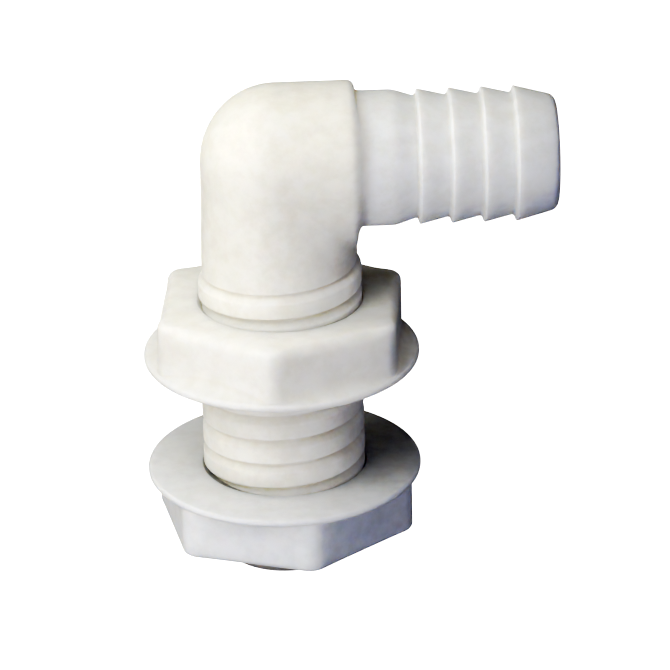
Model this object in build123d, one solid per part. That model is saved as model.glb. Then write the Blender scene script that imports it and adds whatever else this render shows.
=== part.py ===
from build123d import *
import math
import os

# Elbow thru hull fitting for 19 mm (3/4 in) hose, moulded nylon.
# Origin: centre of the stem's open lower end. +Z runs up the stem, +X along the hose tail.
# All lengths in millimetres, all angles in degrees.

# Threaded stem
THREAD_OD = 26.4  # 3/4 pipe-size parallel thread, major diameter
THREAD_DEPTH = 0.85
THREAD_PITCH = 25.4 / 6  # six turns to the inch, right hand
GROOVE_MOUTH = 1.9
GROOVE_FLOOR = 0.7
GROOVE_AT_X = 0.22  # height at which the groove's centre crosses the +X side
GROOVE_FIRST_TURN = -2
GROOVE_LAST_TURN = 12
THREAD_TOP = 50.6
THREAD_TOP_BEVEL = 0.4
STEM_BORE = 16.0
STEM_TIP_OD = 19.6
STEM_LEAD_IN = 3.0

# Elbow
NECK_OD = 25.0
TAIL_AXIS_Z = 68.2
COLLAR_END_X = 12.6
COLLAR_ROUND = 1.2

# Hose tail
SHANK_OD = 21.55
SHANK_END_X = 18.5
BARB_COUNT = 4
BARB_PITCH = 5.1
BARB_FOOT_X = 22.0
BARB_LEAN = 0.4
BARB_ROOT_OD = 19.3
TAIL_END_X = 44.4
TAIL_TIP_OD = 18.05
TAIL_TIP_ROUND = 1.3
TAIL_BORE = 14.6
TAIL_MOUTH_BREAK = 0.3

# Flanged nuts
NUT_HEIGHT = 10.0
NUT_ACROSS_FLATS = 38.1
NUT_CORNER_ROUND = 0.9
NUT_END_ROUND = 0.8
FLANGE_OD = 44.5
FLANGE_THICKNESS = 1.2
FLANGE_EDGE_ROUND = 0.3
FLARE_RADIUS = 2.2  # hollow sweep from the hexagon's flats out to the flange
FLARE_FACETS = 3
MOUTH_OD = 28.6
MOUTH_SEAT_DEPTH = 1.2
UPPER_CLAMP_Z = 34.6
UPPER_NUT_TURN = 24.5
LOWER_CLAMP_Z = 15.6
LOWER_NUT_TURN = -19.5

# Running gaps between the stem's thread and the nuts' threads
RADIAL_GAP = 0.12
FLANK_GAP = 0.15

# Carrier rings, one hidden in each nut's lower mouth
CARRIER_THICKNESS = 0.7
CARRIER_INSET = 0.25
CARRIER_GAP = 0.08

THREAD_R = THREAD_OD / 2
ROOT_R = THREAD_R - THREAD_DEPTH
NUT_MINOR_R = ROOT_R + RADIAL_GAP
NUT_MAJOR_R = THREAD_R + RADIAL_GAP
MOUTH_R = MOUTH_OD / 2
RIDGE_AT_X = GROOVE_AT_X + THREAD_PITCH / 2
UPWARDS = (Align.CENTER, Align.CENTER, Align.MIN)


def turned(points, axis=Axis.Z):
    """Solid of revolution from outline points in the XZ plane."""
    outline = Plane.XZ * make_face(Polyline(*points, close=True))
    return revolve(outline, axis)


def one_turn(section, start_z):
    """One right-hand helical turn of (radius, height) points, from the +X side round to it."""
    path = Helix(THREAD_PITCH, THREAD_PITCH, THREAD_R, center=(0, 0, start_z))
    profile = Plane.XZ * make_face(Polyline(*section, close=True))
    return sweep(Pos(0, 0, start_z) * profile, path=path, is_frenet=True)


def cut_helix(solid, section, phase_z, first_turn, last_turn):
    """Cut a helical groove turn by turn; phase_z is its height on the +X side in turn zero."""
    for turn in range(first_turn, last_turn):
        solid -= one_turn(section, phase_z + turn * THREAD_PITCH)
    return solid


def stem_groove_section():
    """Groove between the stem's thread ridges, open to the outside."""
    half_floor = GROOVE_FLOOR / 2
    half_mouth = GROOVE_MOUTH / 2
    outside = THREAD_R + 0.6
    return [
        (ROOT_R, -half_floor),
        (THREAD_R, -half_mouth),
        (outside, -half_mouth),
        (outside, half_mouth),
        (THREAD_R, half_mouth),
        (ROOT_R, half_floor),
    ]


def nut_groove_section():
    """The stem's thread ridge grown by the running gaps, open towards the bore."""
    slope = (GROOVE_MOUTH - GROOVE_FLOOR) / 2 / THREAD_DEPTH
    half_ridge = (THREAD_PITCH - GROOVE_MOUTH) / 2 + FLANK_GAP
    half_major = half_ridge - RADIAL_GAP * slope
    half_minor = half_ridge + (THREAD_R - NUT_MINOR_R) * slope
    inside = NUT_MINOR_R - 0.5
    return [
        (inside, -half_minor),
        (NUT_MINOR_R, -half_minor),
        (NUT_MAJOR_R, -half_major),
        (NUT_MAJOR_R, half_major),
        (NUT_MINOR_R, half_minor),
        (inside, half_minor),
    ]


def stem_and_neck():
    """Solid stem with its thread, and the plain neck up to the elbow's centre."""
    neck_r = NECK_OD / 2
    outline = [
        (0, 0),
        (STEM_TIP_OD / 2, 0),
        (THREAD_R, STEM_LEAD_IN),
        (THREAD_R, THREAD_TOP - THREAD_TOP_BEVEL),
        (neck_r, THREAD_TOP + THREAD_TOP_BEVEL),
        (neck_r, TAIL_AXIS_Z),
        (0, TAIL_AXIS_Z),
    ]
    section = stem_groove_section()
    return cut_helix(turned(outline), section, GROOVE_AT_X, GROOVE_FIRST_TURN, GROOVE_LAST_TURN)


def collar():
    """Short sleeve that ends in the shoulder the hose stops against."""
    blank = Cylinder(NECK_OD / 2, COLLAR_END_X, align=UPWARDS)
    blank = fillet(blank.edges().group_by(Axis.Z)[-1], COLLAR_ROUND)
    return Rot(0, 90, 0) * blank


def barb_points():
    """Saw-tooth outline as (distance along the tail, radius); steep faces look at the elbow."""
    points = []
    for index in range(BARB_COUNT):
        foot = BARB_FOOT_X + index * BARB_PITCH
        points.append((foot, BARB_ROOT_OD / 2))
        points.append((foot + BARB_LEAN, SHANK_OD / 2))
    return points


def hose_tail():
    """Shank, taper and barbs, turned about the tail's own axis."""
    outline = [(0, 0), (0, SHANK_OD / 2), (SHANK_END_X, SHANK_OD / 2)]
    outline += barb_points()
    outline += [(TAIL_END_X, TAIL_TIP_OD / 2), (TAIL_END_X, 0)]
    solid = turned(outline, Axis.X)
    return fillet(solid.edges().group_by(Axis.X)[-1], TAIL_TIP_ROUND)


def tail_bore():
    """Straight bore of the hose tail with a broken edge at its mouth."""
    bore_r = TAIL_BORE / 2
    mouth = TAIL_END_X - TAIL_MOUTH_BREAK
    outline = [(0, 0), (0, bore_r), (mouth, bore_r)]
    outline += [(TAIL_END_X, bore_r + TAIL_MOUTH_BREAK), (TAIL_END_X, 0)]
    return turned(outline, Axis.X)


def elbow_body():
    """The one-piece moulding: threaded stem, rounded elbow and barbed hose tail."""
    corner = Pos(0, 0, TAIL_AXIS_Z)
    outside = stem_and_neck() + corner * Sphere(NECK_OD / 2)
    outside += corner * collar()
    outside += corner * hose_tail()
    inside = Cylinder(STEM_BORE / 2, TAIL_AXIS_Z, align=UPWARDS)
    inside += corner * Sphere(STEM_BORE / 2)
    inside += corner * tail_bore()
    return outside - inside


def hexagon(across_flats):
    """Nut-shaped face with softened corners, one of them on +X."""
    face = make_face(RegularPolygon(across_flats / 2, 6, major_radius=False).edges())
    return fillet(face.vertices(), NUT_CORNER_ROUND)


def flare_section(step):
    """Cross-section of the flare: step 0 at the flange, the last step on the hexagon's flats."""
    angle = math.radians(90 * step / FLARE_FACETS)
    spread = FLARE_RADIUS * (1 - math.sin(angle))
    height = FLANGE_THICKNESS + FLARE_RADIUS * (1 - math.cos(angle))
    return Pos(0, 0, height) * hexagon(NUT_ACROSS_FLATS + 2 * spread)


def nut_outside():
    """Hexagon flaring into its flange; clamp face at z = 0, hexagon upwards."""
    prism = extrude(hexagon(NUT_ACROSS_FLATS), NUT_HEIGHT)
    prism = fillet(prism.edges().group_by(Axis.Z)[-1], NUT_END_ROUND)
    for step in range(FLARE_FACETS):
        prism += loft([flare_section(step), flare_section(step + 1)], ruled=True)
    prism &= Cylinder(FLANGE_OD / 2 - FLANGE_EDGE_ROUND, NUT_HEIGHT, align=UPWARDS)
    flange = Cylinder(FLANGE_OD / 2, FLANGE_THICKNESS, align=UPWARDS)
    return prism + fillet(flange.edges().filter_by(GeomType.CIRCLE), FLANGE_EDGE_ROUND)


def nut_bore(seat_at_clamp_face):
    """Bore with a seat for the carrier ring at one mouth and a countersink at the other."""
    slope_depth = MOUTH_R - NUT_MINOR_R
    outline = [
        (0, 0),
        (MOUTH_R, 0),
        (MOUTH_R, MOUTH_SEAT_DEPTH),
        (NUT_MINOR_R, MOUTH_SEAT_DEPTH),
        (NUT_MINOR_R, NUT_HEIGHT - slope_depth),
        (MOUTH_R, NUT_HEIGHT),
        (0, NUT_HEIGHT),
    ]
    bore = turned(outline)
    if seat_at_clamp_face:
        return bore
    return Pos(0, 0, NUT_HEIGHT) * Rot(180, 0, 0) * bore


def flanged_nut(seat_at_clamp_face, ridge_z):
    """Nut with its clamp face at z = 0; ridge_z is where a stem ridge crosses its +X side."""
    nut = nut_outside() - nut_bore(seat_at_clamp_face)
    section = nut_groove_section()
    reach = max(height for _, height in section)
    first_turn = math.floor((-reach - ridge_z) / THREAD_PITCH)
    last_turn = math.ceil((NUT_HEIGHT + reach - ridge_z) / THREAD_PITCH)
    return cut_helix(nut, section, ridge_z, first_turn, last_turn)


def upper_nut():
    """Nut above the hull: clamp face down, hexagon up, in step with the stem's thread."""
    ridge_z = RIDGE_AT_X - UPPER_CLAMP_Z + THREAD_PITCH * UPPER_NUT_TURN / 360
    nut = flanged_nut(True, ridge_z % THREAD_PITCH)
    return Pos(0, 0, UPPER_CLAMP_Z) * Rot(0, 0, UPPER_NUT_TURN) * nut


def lower_nut():
    """Nut below the hull: clamp face up, hexagon down, in step with the stem's thread."""
    ridge_z = LOWER_CLAMP_Z - RIDGE_AT_X - THREAD_PITCH * LOWER_NUT_TURN / 360
    nut = flanged_nut(False, ridge_z % THREAD_PITCH)
    return Pos(0, 0, LOWER_CLAMP_Z) * Rot(0, 0, LOWER_NUT_TURN) * Rot(180, 0, 0) * nut


def carrier_ring(mouth_z):
    """Thin ring lying in the nut mouth that opens downwards at mouth_z."""
    inner = THREAD_R + CARRIER_GAP
    outer = MOUTH_R - CARRIER_GAP
    low = mouth_z + CARRIER_INSET
    high = low + CARRIER_THICKNESS
    return turned([(inner, low), (outer, low), (outer, high), (inner, high)])


os.makedirs("parts", exist_ok=True)
export_step(elbow_body(), "parts/elbow_body.step")
export_step(upper_nut(), "parts/upper_nut.step")
export_step(lower_nut(), "parts/lower_nut.step")
export_step(carrier_ring(UPPER_CLAMP_Z), "parts/upper_nut_carrier.step")
export_step(carrier_ring(LOWER_CLAMP_Z - NUT_HEIGHT), "parts/lower_nut_carrier.step")
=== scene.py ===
import math

import bpy
import numpy as np
from mathutils import Matrix, Vector


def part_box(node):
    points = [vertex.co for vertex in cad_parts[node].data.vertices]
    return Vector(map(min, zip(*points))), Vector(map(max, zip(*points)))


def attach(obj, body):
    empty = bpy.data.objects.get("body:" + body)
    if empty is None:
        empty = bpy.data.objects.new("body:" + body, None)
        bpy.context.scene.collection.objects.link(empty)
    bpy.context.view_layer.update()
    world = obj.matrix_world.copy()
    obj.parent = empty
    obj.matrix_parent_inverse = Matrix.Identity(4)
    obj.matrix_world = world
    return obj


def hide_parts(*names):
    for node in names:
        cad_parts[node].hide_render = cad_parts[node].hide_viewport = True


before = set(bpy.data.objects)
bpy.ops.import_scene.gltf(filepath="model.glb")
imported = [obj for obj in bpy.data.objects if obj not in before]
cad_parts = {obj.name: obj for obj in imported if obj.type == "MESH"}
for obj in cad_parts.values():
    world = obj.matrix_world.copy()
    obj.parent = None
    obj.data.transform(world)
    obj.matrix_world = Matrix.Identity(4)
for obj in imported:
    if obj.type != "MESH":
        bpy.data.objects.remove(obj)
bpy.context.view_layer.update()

MM = 0.001
TURN = 2 * math.pi

# Sizes are in millimetres, with Z up from the stem's tip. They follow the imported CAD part, apart
# from the rounds, the blends and the thread's form, which are set closer to the photograph.

# Stem and its thread
THREAD_R = 13.15
THREAD_PITCH = 25.4 / 6
THREAD_TURNS = 12
GROOVE_DEPTH = 1.0
GROOVE_AT_X = 0.22  # height of a groove's centre on the +X side
THREAD_TOP = 51.0
GROOVE_END = 51.6
STEM_BORE_R = 8.0
STEM_TIP_R = 9.8
STEM_LEAD_IN = 3.0

# Elbow and collar
NECK_R = 12.5
NECK_TOP = 53.5
AXIS_Z = 68.2
OUTER_FLAT = 0.024  # share by which the elbow's outer side is squeezed
COLLAR_END = 12.6
COLLAR_ROUND = 1.2
COLLAR_FILLET = 0.3
CREASE_BLEND = 5.0
ELBOW_BORE_R = 7.65
RELAX_ROUNDS = 14

# Hose tail
SHANK_R = 10.775
SHANK_END = 18.5
ROOT_R = 9.65
BARB_COUNT = 4
BARB_FOOT = 22.0
BARB_PITCH = 5.1
BARB_LEAN = 0.4
TAIL_END = 44.4
TAIL_TIP_R = 9.025
TIP_ROUND = 1.9
TAIL_BORE_R = 7.3

# Flanged nuts
NUT_HEIGHT = 10.0
APOTHEM = 19.05
CORNER_ROUND = 3.2
UPPER_END_ROUNDS = (1.9, 1.0)  # the hexagon's end edge, on its flats and at its corners
LOWER_END_ROUNDS = (0.9, 0.8)
FLANGE_R = 22.25
FLANGE_THICK = 1.2
FLANGE_EDGE = 0.5
FLARE_OUT = 2.9
FLARE_UP = 2.2
SEAT_R = 14.3
SEAT_DEPTH = 1.2
MOUTH_R = 13.45
MOUTH_RIM = 0.12
NUT_MAJOR_R = 13.32
UPPER_MINOR_R = 12.47
LOWER_MINOR_R = 12.32
UPPER_TURN = 24.5  # degrees
LOWER_TURN = -19.5


# ---------------------------------------------------------------- shape helpers
def smooth(low, high, value):
    """Smooth step from 0 at low to 1 at high; low may be the larger."""
    t = np.clip((value - low) / (high - low), 0, 1)
    return t * t * (3 - 2 * t)


def soft_min(a, b, k):
    """Smaller of a and b, rounded over a width of k where they cross."""
    h = np.clip(k - np.abs(a - b), 0, None) / k
    return np.minimum(a, b) - h * h * k / 4


def rounded(corners, max_step=1.2, arc_step=18):
    """Polyline through (a, b, radius) corners, each rounded by its radius, in steps of max_step."""
    points = [np.array(corners[0][:2], float)]
    for before, here, after in zip(corners, corners[1:], corners[2:]):
        corner = np.array(here[:2], float)
        back = np.array(before[:2], float) - corner
        ahead = np.array(after[:2], float) - corner
        span_back, span_ahead = np.linalg.norm(back), np.linalg.norm(ahead)
        back, ahead = back / span_back, ahead / span_ahead
        half = math.acos(float(np.clip(back @ ahead, -1, 1))) / 2
        room_back = 0.97 * span_back * here[2] / (here[2] + before[2] + 1e-9)
        room_ahead = 0.97 * span_ahead * here[2] / (here[2] + after[2] + 1e-9)
        reach = min(here[2] / math.tan(half), room_back, room_ahead)
        if reach < 1e-4:
            points.append(corner)
            continue
        radius = reach * math.tan(half)
        middle = back + ahead
        centre = corner + middle / np.linalg.norm(middle) * radius / math.sin(half)
        first, last = corner + back * reach - centre, corner + ahead * reach - centre
        turn = math.pi - 2 * half
        sign = 1 if first[0] * last[1] - first[1] * last[0] > 0 else -1
        count = max(2, math.ceil(math.degrees(turn) / arc_step))
        for step in range(count + 1):
            a = sign * turn * step / count
            c, s = math.cos(a), math.sin(a)
            spoke = np.array([c * first[0] - s * first[1], s * first[0] + c * first[1]])
            points.append(centre + spoke)
    points.append(np.array(corners[-1][:2], float))
    dense = [points[0]]
    for p in points[1:]:
        gap = np.linalg.norm(p - dense[-1])
        if gap < 1e-6:
            continue
        parts = max(1, math.ceil(gap / max_step))
        start = dense[-1]
        dense += [start + (p - start) * k / parts for k in range(1, parts + 1)]
    return np.array(dense)


def stem_ring(angle, radius, z):
    """Points round the stem's axis, at height z."""
    height = np.broadcast_to(z, angle.shape)
    return np.stack([radius * np.cos(angle), radius * np.sin(angle), height], -1)


def tail_ring(angle, radius, x):
    """Points round the tail's axis, at x; angle 0 is on its underside."""
    along = np.broadcast_to(x, angle.shape)
    return np.stack([along, radius * np.sin(angle), AXIS_Z - radius * np.cos(angle)], -1)


def ring_mesh(name, rows):
    """Closed mesh from rows of points in mm; rows and columns both wrap round."""
    rows = np.asarray(rows, float)
    count, columns = rows.shape[:2]
    index = np.arange(count * columns).reshape(count, columns)
    across = np.roll(index, -1, axis=1)
    up, up_across = np.roll(index, -1, axis=0), np.roll(across, -1, axis=0)
    quads = np.stack([index, across, up_across, up], axis=-1).reshape(-1, 4)
    points = rows.reshape(-1, 3)
    a, b, c, d = (points[quads[:, k]] for k in range(4))
    volume = np.einsum("ij,ij->i", a, np.cross(b, c) + np.cross(c, d)).sum()
    if volume < 0:
        quads = quads[:, ::-1]
    mesh = bpy.data.meshes.new(name)
    mesh.from_pydata((points * MM).tolist(), [], quads.tolist())
    mesh.shade_smooth()
    obj = bpy.data.objects.new(name, mesh)
    bpy.context.scene.collection.objects.link(obj)
    return obj


# ---------------------------------------------------------------- stem and thread
def groove_depth(offset):
    """Groove's depth at a height from its centre; its upper flank is the steeper one."""
    steep, gentle = smooth(0.45, 1.0, offset), smooth(-0.25, 1.0, -offset)
    return GROOVE_DEPTH * (1 - np.maximum(steep, gentle))


def from_nearest_turn(z, start, angle):
    """Height above the nearest turn of a thread that passes start at angle 0."""
    lift = start + THREAD_PITCH * angle / TURN
    return (z - lift + THREAD_PITCH / 2) % THREAD_PITCH - THREAD_PITCH / 2


def stem_radius(angle, z, plain):
    """Stem's radius, with the thread cut into the plain outline's radius."""
    offset = from_nearest_turn(z, GROOVE_AT_X, angle)
    depth = groove_depth(offset) * (1 - smooth(GROOVE_END, GROOVE_END + 0.9, z - offset))
    return np.minimum(plain, THREAD_R - depth)


def thread_top(angle):
    """Height at which the last turn runs out into the neck, stepping down behind."""
    last_groove = GROOVE_AT_X + THREAD_TURNS * THREAD_PITCH
    turn = (angle + math.pi) % TURN - math.pi
    top = np.minimum(last_groove + THREAD_PITCH * turn / TURN, THREAD_TOP)
    low = last_groove - THREAD_PITCH / 2
    return top + (low - top) * smooth(math.pi / 2, math.pi, turn)


def stem_rows(angle):
    """The stem from its bore's mouth, out round the tip and up to the neck."""
    tip = rounded(
        [
            (STEM_BORE_R, 0.35, 0),
            (STEM_BORE_R + 0.35, 0, 0.4),
            (STEM_TIP_R, 0, 0.7),
            (THREAD_R, STEM_LEAD_IN, 1.2),
            (THREAD_R, STEM_LEAD_IN + 2, 0),
        ],
        max_step=0.3,
    )
    rows = []
    for r, z in tip:
        rows.append(stem_ring(angle, stem_radius(angle, z, r) if z > 0.3 else r, z))
    step, top = 0.15, THREAD_TOP + 0.6
    run_out = thread_top(angle)
    for z in np.arange(tip[-1, 1] + step, top, step):
        plain = NECK_R + (THREAD_R - NECK_R) * (1 - smooth(-0.7, 0.3, z - run_out))
        rows.append(stem_ring(angle, stem_radius(angle, z, plain), z))
    for z in np.arange(top + step, NECK_TOP - 0.1, 0.2):
        rows.append(stem_ring(angle, stem_radius(angle, z, NECK_R), z))
    return rows


# ---------------------------------------------------------------- elbow and tail
def mitre_leg(angle, radius, start, steps):
    """One leg of the elbow up to its mitre plane, as rows of (along, side, in): 'along' is measured
    towards the corner, which is at 0, and 'in' towards the other leg."""
    inwards = radius * np.cos(angle)
    arc = np.maximum(-inwards, 0) * math.pi / 4
    straight = -start - np.maximum(inwards, 0)
    rows = []
    for step in range(steps + 1):
        run = (straight + arc) * step / steps
        turn = np.clip((run - straight) / np.maximum(-inwards, 1e-9), 0, math.pi / 4)
        turn = np.where(inwards < 0, turn, 0)
        along = np.where(turn > 0, -inwards * np.sin(turn), start + np.minimum(run, straight))
        rows.append(np.stack([along, radius * np.sin(angle), inwards * np.cos(turn)], -1))
    return rows


def stem_leg(angle, radius, start, steps):
    """Mitre leg that stands on the stem's axis."""
    leg = mitre_leg(angle, radius, start, steps)
    return [np.stack([row[:, 2], row[:, 1], AXIS_Z + row[:, 0]], -1) for row in leg]


def tail_leg(angle, radius, start, steps):
    """Mitre leg that lies on the tail's axis."""
    leg = mitre_leg(angle, radius, start, steps)
    return [np.stack([-row[:, 0], row[:, 1], AXIS_Z - row[:, 2]], -1) for row in leg]


def elbow_distance(p):
    """Rough signed distance from the elbow's skin: neck and sleeve, collar, then shank."""
    x, y, z = p[:, 0], p[:, 1], p[:, 2] - AXIS_Z
    neck = np.sqrt(x * x + y * y + np.maximum(z, 0) ** 2) - NECK_R
    across = np.sqrt(y * y + z * z + np.minimum(x, 0) ** 2)

    # The inner crease's blend starts at nothing on the sides, and is tighter at the very corner.
    inner = np.clip(np.minimum(x, -z) / NECK_R, 0, 1)
    blend = CREASE_BLEND * smooth(0, 0.8, inner) * (1 - 0.3 * smooth(0.5, 1, inner)) + 1e-3
    sleeve = soft_min(neck, across - NECK_R, blend)

    # The collar's end cuts the sleeve off, with a rounded edge that is sharper underneath. Its
    # plane is eased away below, where the neck goes on.
    edge = COLLAR_ROUND - 0.7 * smooth(0.5, 1.0, -z / NECK_R)
    past_end = x - (COLLAR_END - edge) - smooth(-15.0, -18.0, z)
    past_side = sleeve + edge
    collar = np.minimum(np.maximum(past_end, past_side), 0) - edge
    collar += np.hypot(np.maximum(past_end, 0), np.maximum(past_side, 0))

    front = smooth(0.3, 0.8, -y / SHANK_R)
    return soft_min(collar, across - SHANK_R, 0.7 + 1.6 * front)


def soft_elbow(points):
    """Moves points onto the elbow's skin, which blends its creases as a moulding does."""
    nudge = 1e-3
    for _ in range(8):
        slopes = []
        for axis in nudge * np.eye(3):
            rise = elbow_distance(points + axis) - elbow_distance(points - axis)
            slopes.append(rise / (2 * nudge))
        gradient = np.stack(slopes, -1)
        pull = elbow_distance(points) / np.maximum((gradient**2).sum(1), 0.2)
        points = points - gradient * pull[:, None]
    return points


def elbow_rows(angle):
    """Both legs of the elbow, from the neck to the start of the collar's rounded end."""
    steps = 30
    neck = stem_leg(angle, NECK_R, NECK_TOP - AXIS_Z, steps)
    plain_end = COLLAR_END - COLLAR_ROUND
    mitre = NECK_R * np.cos(angle)
    collar = tail_leg(angle, NECK_R, -plain_end, steps)[::-1]
    for row in collar:
        row[:, 0] = np.where(mitre > plain_end - 0.05, mitre + 0.02, row[:, 0])
    return neck + collar[1:]


def tail_outline():
    """Collar's end, shank, barbs and tip as (x, radius) points, ending just inside the bore."""
    corners = [
        (COLLAR_END - COLLAR_ROUND - 2, NECK_R, 0),
        (COLLAR_END, NECK_R, COLLAR_ROUND),
        (COLLAR_END, SHANK_R, COLLAR_FILLET),
        (SHANK_END, SHANK_R, 4.0),
    ]
    for index in range(BARB_COUNT):
        foot = BARB_FOOT + index * BARB_PITCH
        corners += [(foot, ROOT_R, 0.5), (foot + BARB_LEAN, SHANK_R, 0.25)]
    corners += [
        (TAIL_END, TAIL_TIP_R, TIP_ROUND),
        (TAIL_END, TAIL_BORE_R + 0.3, 0.25),
        (TAIL_END - 0.3, TAIL_BORE_R, 0.25),
        (TAIL_END - 3, TAIL_BORE_R, 0),
    ]
    outline = rounded(corners, max_step=0.9, arc_step=15)
    return outline[outline[:, 0] > COLLAR_END - COLLAR_ROUND + 1e-6]


def tail_rows(angle):
    rows = []
    plain_end = COLLAR_END - COLLAR_ROUND
    mitre = NECK_R * np.cos(angle)
    for x, r in tail_outline():
        at = np.full_like(angle, x)
        if x < COLLAR_END - 1e-6 and r > SHANK_R + 0.6:
            start = mitre + 0.02
            squeezed = start + (COLLAR_END - start) * (x - plain_end) / COLLAR_ROUND
            at = np.where(mitre > plain_end - 0.05, squeezed, at)
        rows.append(tail_ring(angle, r, at))
    return rows


def soften(rows):
    """Projects the rows near the elbow onto its skin, evens them out in the inner corner, and
    flattens the outer side slightly."""
    shape = np.array(rows)
    flat = shape.reshape(-1, 3)
    near = flat[:, 0] < SHANK_END - 3
    flat[near] = soft_elbow(flat[near])
    inner = near * smooth(54, 56, flat[:, 2])
    inner = inner * smooth(5, 9, flat[:, 0]) * smooth(-5, -9, flat[:, 2] - AXIS_Z)
    moved = inner > 0
    for _ in range(RELAX_ROUNDS):
        grid = flat.reshape(shape.shape)
        around = sum(np.roll(grid, shift, axis) for axis in (0, 1) for shift in (1, -1)) / 4
        flat[moved] += (inner[:, None] * (around.reshape(-1, 3) - flat))[moved]
        flat[moved] = soft_elbow(flat[moved])
    outer = smooth(51, 66, flat[:, 2]) * (flat[:, 0] < 0)
    flat[:, 0] *= 1 - OUTER_FLAT * outer
    return list(flat.reshape(shape.shape))


def bore_rows(angle):
    """The waterway, from the tail's mouth round the corner to the stem's mouth."""
    leg_start, leg_steps = -13.5, 8
    rows = [tail_ring(angle, TAIL_BORE_R, x) for x in np.linspace(TAIL_END - 4.5, 15, 10)]
    rows += tail_leg(angle, ELBOW_BORE_R, leg_start, leg_steps)
    rows += stem_leg(angle, ELBOW_BORE_R, leg_start, leg_steps)[::-1][1:]
    rows += [stem_ring(angle, STEM_BORE_R, z) for z in np.linspace(AXIS_Z - 15, 1.5, 14)]
    return rows


def build_elbow():
    angle = np.linspace(0, TURN, 180, endpoint=False)
    rows = stem_rows(angle) + soften(elbow_rows(angle) + tail_rows(angle)) + bore_rows(angle)
    return ring_mesh("elbow_moulding", rows)


# ---------------------------------------------------------------- flanged nuts
def nut_angles():
    """Angles round a nut, packed closely about each of the hexagon's rounded corners."""
    half = [0, 0.8, 1.6, 2.4, 3.2, 4, 4.8, 5.6, 7, 9.5, 12, 15, 18, 21, 24, 27]
    sector = sorted(half + [60 - h for h in half[1:]] + [30])
    return np.radians([60 * k + a for k in range(6) for a in sector])


def hexagon_radius(angle):
    """Radius of the hexagon with rounded corners, which are at 0, 60, ... degrees, and the cosine
    of the angle from the middle of the flat."""
    away = np.abs((angle + math.pi / 6) % (math.pi / 3) - math.pi / 6)
    from_flat = np.cos(math.pi / 6 - away)
    centre = (APOTHEM - CORNER_ROUND) / math.cos(math.pi / 6)
    tangent = math.atan2(CORNER_ROUND * 0.5, centre + CORNER_ROUND * math.cos(math.pi / 6))
    inside = np.clip(CORNER_ROUND**2 - (centre * np.sin(away)) ** 2, 0, None)
    arc = centre * np.cos(away) + np.sqrt(inside)
    return np.where(away < tangent, arc, APOTHEM / from_flat), from_flat


def seat_radius(depth):
    """Bore radius of the round seat at a depth below its face, or 0 below the seat."""
    return SEAT_R if depth < SEAT_DEPTH else 0


def rim_radius(depth):
    """Bore radius of the plain mouth's rounded rim, or 0 below the rim."""
    if depth > MOUTH_RIM:
        return 0
    return MOUTH_R - MOUTH_RIM * math.sqrt(1 - (1 - depth / MOUTH_RIM) ** 2)


def nut_bore_rows(angle, ridge_phase, minor_r, flipped):
    """The threaded bore, from the clamp face up; its seat is in the mouth that ends up lower."""
    near_face = [0.02, 0.06, 0.12, 0.2, 0.32, 0.46, 0.62, 0.8, 1.0, 1.16]
    middle = np.arange(1.26, 8.75, 0.15)
    rows = []
    for z in [*near_face, *middle, *(NUT_HEIGHT - h for h in near_face[::-1])]:
        offset = from_nearest_turn(z, ridge_phase, angle)
        depth = groove_depth(-offset if flipped else offset)
        thread = np.maximum(NUT_MAJOR_R - depth, minor_r)
        seat_depth, rim_depth = z, NUT_HEIGHT - z
        if flipped:
            seat_depth, rim_depth = rim_depth, seat_depth
        mouth = max(seat_radius(seat_depth), rim_radius(rim_depth))
        rows.append(stem_ring(angle, np.maximum(thread, mouth), z))
    return rows


def nut_rows(angle, ridge_phase, minor_r, end_rounds, flipped):
    """Rows of a nut with its clamp face at 0 and its hexagon up; ridge_phase sets its thread."""
    hexagon, from_flat = hexagon_radius(angle)
    flat_round, corner_round = end_rounds
    end_round = flat_round + (corner_round - flat_round) * smooth(0.95, 0.875, from_flat)
    room = np.minimum(FLARE_OUT, FLANGE_R - FLANGE_EDGE - 0.01 - hexagon)
    rise = FLARE_UP * room / FLARE_OUT
    end_inner, clamp_inner = MOUTH_R + 0.01, SEAT_R + 0.03
    if flipped:
        end_inner, clamp_inner = clamp_inner, end_inner
    rows = nut_bore_rows(angle, ridge_phase, minor_r, flipped)

    def add(radius, z):
        rows.append(stem_ring(angle, radius, z))

    for t in np.linspace(0, 1, 7):
        add(end_inner + (hexagon - end_round - end_inner) * t, NUT_HEIGHT)
    for a in np.radians(np.arange(15, 91, 15)):
        out, down = end_round * (1 - math.sin(a)), end_round * (1 - math.cos(a))
        add(hexagon - out, NUT_HEIGHT - down)
    for t in np.linspace(0, 1, 6)[1:-1]:
        top = NUT_HEIGHT - end_round
        add(hexagon, top + (FLANGE_THICK + rise - top) * t)
    for a in np.radians(np.arange(90, -1, -10)):
        add(hexagon + room * (1 - math.sin(a)), FLANGE_THICK + rise * (1 - math.cos(a)))
    quarter = np.radians([0, 22.5, 45, 67.5, 90])
    rim_r = FLANGE_R - FLANGE_EDGE
    for a in quarter:
        down = FLANGE_EDGE * (1 - math.cos(a))
        add(rim_r + FLANGE_EDGE * math.sin(a), FLANGE_THICK - down - 0.002)
    for a in quarter:
        add(rim_r + FLANGE_EDGE * math.cos(a), FLANGE_EDGE * (1 - math.sin(a)))
    for t in np.linspace(0, 1, 7)[1:]:
        add(rim_r + (clamp_inner - rim_r) * t, 0)
    return np.array(rows)


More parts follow.
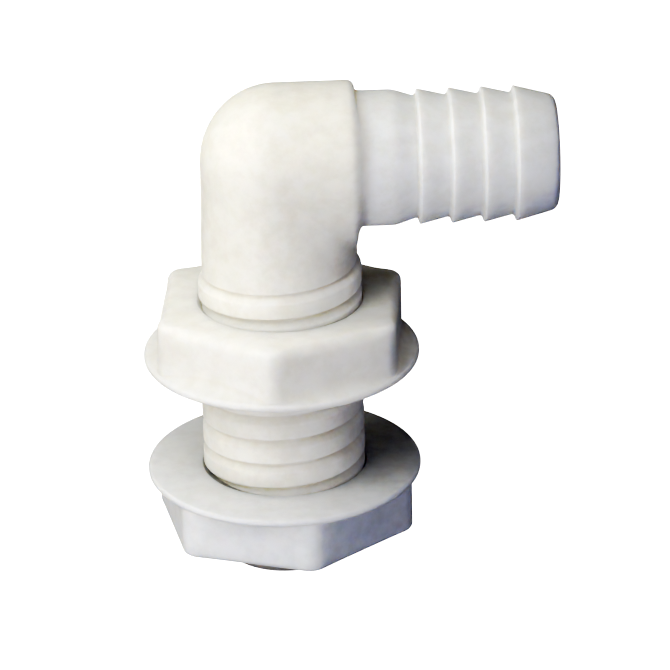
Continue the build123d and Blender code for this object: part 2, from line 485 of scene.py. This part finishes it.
def build_nut(name, clamp_z, turn, end_rounds, minor_r, flipped):
    """A nut with its clamp face at clamp_z; a flipped one has its hexagon below the face."""
    angle = nut_angles()
    ridge = GROOVE_AT_X - clamp_z + THREAD_PITCH * turn / 360
    if flipped:
        ridge = -ridge
    rows = nut_rows(angle, ridge % THREAD_PITCH, minor_r, end_rounds, flipped)
    x, y, z = rows[..., 0], rows[..., 1], rows[..., 2]
    if flipped:
        y, z = -y, -z
    c, s = math.cos(math.radians(turn)), math.sin(math.radians(turn))
    placed = np.stack([c * x - s * y, s * x + c * y, z + clamp_z], -1)
    return ring_mesh(name, placed)


# ---------------------------------------------------------------- material
def node(tree, kind, place, **values):
    """New node; each value sets a property of it or, if there's none, the input of that name."""
    made = tree.nodes.new(kind)
    made.location = place
    for key, value in values.items():
        if hasattr(made, key):
            setattr(made, key, value)
        else:
            made.inputs[key.replace("_", " ")].default_value = value
    return made


def feed(tree, target, source):
    """Links a socket to the target input, or sets the input's own value."""
    if isinstance(source, bpy.types.NodeSocket):
        tree.links.new(source, target)
    else:
        target.default_value = source


def noise(tree, place, vector, scale, detail, roughness, distortion=0.0):
    made = node(tree, "ShaderNodeTexNoise", place)
    values = {"Scale": scale, "Detail": detail, "Roughness": roughness, "Distortion": distortion}
    for key, value in values.items():
        made.inputs[key].default_value = value
    tree.links.new(vector, made.inputs["Vector"])
    return made


def map_range(tree, place, source, from_range, to_range):
    made = node(tree, "ShaderNodeMapRange", place)
    names = ("From Min", "From Max", "To Min", "To Max")
    for name, value in zip(names, (*from_range, *to_range)):
        made.inputs[name].default_value = value
    tree.links.new(source, made.inputs["Value"])
    return made.outputs["Result"]


def mix_colour(tree, place, blend, factor, a, b):
    made = node(tree, "ShaderNodeMix", place, data_type="RGBA", blend_type=blend)
    for name, source in (("Factor", factor), ("A", a), ("B", b)):
        feed(tree, made.inputs[name], source)
    return made.outputs["Result"]


def bump(tree, place, height, strength, distance):
    made = node(tree, "ShaderNodeBump", place, Strength=strength)
    made.inputs["Distance"].default_value = distance
    tree.links.new(height, made.inputs["Height"])
    return made


def nylon(name, dull, clean, elbow=False):
    """Natural moulded nylon: milky, slightly translucent, satin, with faint flow and grain. The
    elbow's has a cooler tail and a stem tip greyed by painted shade."""
    material = bpy.data.materials.new(name)
    material.use_nodes = True
    tree = material.node_tree
    tree.nodes.clear()
    link = tree.links.new
    out = node(tree, "ShaderNodeOutputMaterial", (900, 0))
    shader = node(tree, "ShaderNodeBsdfPrincipled", (600, 0))
    link(shader.outputs[0], out.inputs["Surface"])
    place = node(tree, "ShaderNodeTexCoord", (-1200, 0)).outputs["Object"]

    # Mottled tint
    cloud = noise(tree, (-900, 300), place, 330.0, 4.0, 0.65)
    ramp = node(tree, "ShaderNodeValToRGB", (-600, 300))
    for element, position, colour in zip(ramp.color_ramp.elements, (0.36, 0.60), (dull, clean)):
        element.position, element.color = position, (*colour, 1)
    link(cloud.outputs["Fac"], ramp.inputs["Fac"])
    tint = ramp.outputs["Color"]
    if elbow:
        along = node(tree, "ShaderNodeSeparateXYZ", (-900, 550))
        link(place, along.inputs[0])
        tail = map_range(tree, (-700, 550), along.outputs["X"], (0.0115, 0.0145), (0, 1))
        tint = mix_colour(tree, (-450, 400), "MULTIPLY", tail, tint, (0.95, 0.98, 1.06, 1))
        # Painted shade: the stem's tip, below 3 mm, is darkened towards grey
        tip = map_range(tree, (-700, 800), along.outputs["Z"], (0, 0.003), (0, 1))
        tint = mix_colour(tree, (-450, 650), "MIX", tip, (0.36, 0.34, 0.36, 1), tint)
    flow = noise(tree, (-900, 0), place, 420.0, 5.0, 0.65, 0.4)
    mottle = mix_colour(tree, (-250, 250), "SOFT_LIGHT", 0.24, tint, flow.outputs["Color"])

    # Painted shade: crevices and thread grooves darkened towards brown by the surface's pointiness
    geometry = node(tree, "ShaderNodeNewGeometry", (-900, -300))
    crevice_shade = map_range(tree, (-600, -300), geometry.outputs["Pointiness"], (0.46, 0.50), (0.65, 1))
    colour = mix_colour(tree, (50, 250), "MIX", crevice_shade, (0.60, 0.55, 0.47, 1), mottle)
    link(colour, shader.inputs["Base Color"])

    sheen = map_range(tree, (-300, 0), flow.outputs["Fac"], (0, 1), (0.36, 0.52))
    link(sheen, shader.inputs["Roughness"])

    # Fine grain over a broad swell
    grain = noise(tree, (-900, -600), place, 900.0, 3.0, 0.6)
    swell = noise(tree, (-900, -850), place, 140.0, 2.0, 0.5)
    fine = bump(tree, (0, -500), grain.outputs["Fac"], 0.12, 0.00012)
    broad = bump(tree, (250, -500), swell.outputs["Fac"], 0.35, 0.00025)
    link(fine.outputs["Normal"], broad.inputs["Normal"])
    link(broad.outputs["Normal"], shader.inputs["Normal"])

    shader.inputs["Subsurface Weight"].default_value = 0.9
    shader.inputs["Subsurface Radius"].default_value = (1.0, 0.9, 0.75)
    shader.inputs["Subsurface Scale"].default_value = 0.0038
    shader.inputs["IOR"].default_value = 1.53
    shader.inputs["Specular IOR Level"].default_value = 0.3
    return material


# ---------------------------------------------------------------- build the object
def build_object():
    upper_low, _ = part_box("upper_nut")
    _, lower_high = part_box("lower_nut")
    elbow = build_elbow()
    upper = build_nut(
        "upper_flanged_nut", upper_low.z / MM, UPPER_TURN, UPPER_END_ROUNDS, UPPER_MINOR_R, False
    )
    lower = build_nut(
        "lower_flanged_nut", lower_high.z / MM, LOWER_TURN, LOWER_END_ROUNDS, LOWER_MINOR_R, True
    )
    warm = nylon("natural_nylon", (0.825, 0.803, 0.72), (0.90, 0.883, 0.81), elbow=True)
    pale = nylon("natural_nylon_nut", (0.83, 0.815, 0.755), (0.90, 0.89, 0.84))
    cool = nylon("natural_nylon_cool", (0.795, 0.81, 0.81), (0.865, 0.885, 0.89))
    for piece, body, stood_for, material in (
        (elbow, "elbow", ["elbow_body"], warm),
        (upper, "upper_nut", ["upper_nut", "upper_nut_carrier"], pale),
        (lower, "lower_nut", ["lower_nut", "lower_nut_carrier"], cool),
    ):
        piece.data.materials.append(material)
        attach(piece, body)
        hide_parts(*stood_for)


# ---------------------------------------------------------------- studio
WHITE = 2.0  # strength that shows as pure white through the tone curve


def floor():
    """Pale floor that only the camera sees, and only from above."""
    size, height = 6.0, -0.03
    corners = [(x * size, y * size, height) for x, y in ((-1, -1), (1, -1), (1, 1), (-1, 1))]
    mesh = bpy.data.meshes.new("studio_floor")
    mesh.from_pydata(corners, [], [(0, 1, 2, 3)])
    made = bpy.data.objects.new("studio_floor", mesh)
    bpy.context.scene.collection.objects.link(made)
    material = bpy.data.materials.new("pale_floor")
    material.use_nodes = True
    tree = material.node_tree
    tree.nodes.clear()
    link = tree.links.new
    out = node(tree, "ShaderNodeOutputMaterial", (600, 0))
    clear = node(tree, "ShaderNodeBsdfTransparent", (0, 100))
    glow = node(tree, "ShaderNodeEmission", (0, -100), Strength=WHITE)
    seen = node(tree, "ShaderNodeLightPath", (-300, 200))
    side = node(tree, "ShaderNodeNewGeometry", (-300, 0))
    from_above = node(tree, "ShaderNodeMath", (0, 300), operation="SUBTRACT", use_clamp=True)
    mix = node(tree, "ShaderNodeMixShader", (300, 0))
    link(seen.outputs["Is Camera Ray"], from_above.inputs[0])
    link(side.outputs["Backfacing"], from_above.inputs[1])
    link(from_above.outputs[0], mix.inputs[0])
    link(clear.outputs[0], mix.inputs[1])
    link(glow.outputs[0], mix.inputs[2])
    link(mix.outputs[0], out.inputs["Surface"])
    mesh.materials.append(material)


def backdrop():
    """White surroundings that only the camera sees, and that cast no light."""
    world = bpy.data.worlds.new("soft_sky")
    world.use_nodes = True
    tree = world.node_tree
    background = tree.nodes["Background"]
    background.inputs["Color"].default_value = (1, 1, 1, 1)
    seen = node(tree, "ShaderNodeLightPath", (-600, 0))
    shown = node(tree, "ShaderNodeMath", (-300, 0), operation="MULTIPLY")
    shown.inputs[1].default_value = WHITE
    tree.links.new(seen.outputs["Is Camera Ray"], shown.inputs[0])
    tree.links.new(shown.outputs[0], background.inputs["Strength"])
    bpy.context.scene.world = world


def soft_box(name, azimuth, elevation, distance, size, colour):
    """Round light aimed at the object; azimuth 0 is in front (-Y) and 90 is at its right (+X)."""
    aim = Vector((0.01, 0, 0.045))
    a, e = math.radians(azimuth), math.radians(elevation)
    towards = Vector((math.sin(a) * math.cos(e), -math.cos(a) * math.cos(e), math.sin(e)))
    lamp = bpy.data.lights.new(name, "AREA")
    lamp.shape = "DISK"
    lamp.size = size
    lamp.energy = math.pi**2 * distance**2  # a white surface at the aim then shows its colour
    lamp.color = colour
    made = bpy.data.objects.new(name, lamp)
    made.location = aim + towards * distance
    made.rotation_mode = "QUATERNION"
    made.rotation_quaternion = towards.to_track_quat("Z", "Y")
    made.visible_camera = False
    bpy.context.scene.collection.objects.link(made)


def lights():
    """Soft boxes in front and at the left, as in the photograph, and weak ones elsewhere."""
    near, far, low = (0.2, 0.12), (0.45, 0.25), (0.45, 0.1)
    for name, azimuth, elevation, (distance, size), colour in (
        ("key", -20, 55, near, (0.268, 0.268, 0.262)),
        ("front_left", -45, 30, near, (0.196, 0.190, 0.178)),
        ("left", -90, 30, near, (0.325, 0.316, 0.294)),
        ("left_high", -90, 75, near, (0.255, 0.252, 0.234)),
        ("low_left", -45, -20, near, (0.350, 0.342, 0.350)),
        ("fill_right", 30, 12, far, (0.160, 0.150, 0.166)),
        ("fill_low", 30, -10, far, (0.052, 0.064, 0.088)),
        ("low_back", 190, -18, low, (0.190, 0.188, 0.184)),
    ):
        soft_box(name, azimuth, elevation, distance, size, colour)


def tone_curve():
    """The photograph's contrast: deep shadows and gentle highlights."""
    view = bpy.context.scene.view_settings
    view.view_transform = "Standard"
    view.use_curve_mapping = True
    curve = view.curve_mapping.curves[3]
    tones = [
        (0, 0),
        (0.0331, 0.0004),
        (0.0509, 0.0016),
        (0.0732, 0.0125),
        (0.1005, 0.0370),
        (0.1329, 0.0730),
        (0.1706, 0.1300),
        (0.2140, 0.2150),
        (0.2633, 0.3360),
        (0.3185, 0.4500),
        (0.3801, 0.5126),
        (0.4480, 0.5765),
        (0.5225, 0.6430),
        (0.6038, 0.7130),
        (0.6921, 0.7790),
        (0.7874, 0.8480),
        (1, 0.9600),
    ]
    while len(curve.points) < len(tones):
        curve.points.new(0.5, 0.5)
    for point, place in zip(curve.points, tones):
        point.location = place
        point.handle_type = "AUTO_CLAMPED"
    view.curve_mapping.extend = "EXTRAPOLATED"
    view.curve_mapping.update()


def camera():
    """The photograph's view, fitted in mm, degrees and pixels of a 670-pixel frame."""
    distance, focal_px, frame_px = 675.5, 4188.5, 670
    elevation, roll, azimuth = (math.radians(v) for v in (24.91, -1.26, 1.90))
    target = Vector((8.656, 0, 37.542)) * MM
    level = Vector((math.cos(azimuth), -math.sin(azimuth), 0))
    ahead = Vector((math.sin(azimuth), math.cos(azimuth), 0))
    forward = ahead * math.cos(elevation) - Vector((0, 0, math.sin(elevation)))
    above = level.cross(forward)
    right = level * math.cos(roll) + above * math.sin(roll)
    up = above * math.cos(roll) - level * math.sin(roll)
    data = bpy.data.cameras.new("camera")
    data.sensor_width = 36
    data.lens = focal_px / frame_px * data.sensor_width
    data.clip_start, data.clip_end = 0.05, 20
    made = bpy.data.objects.new("camera", data)
    turned = Matrix((right, up, -forward)).transposed().to_4x4()
    made.matrix_world = Matrix.Translation(target - forward * distance * MM) @ turned
    bpy.context.scene.collection.objects.link(made)
    bpy.context.scene.camera = made


build_object()
floor()
backdrop()
lights()
tone_curve()
camera()
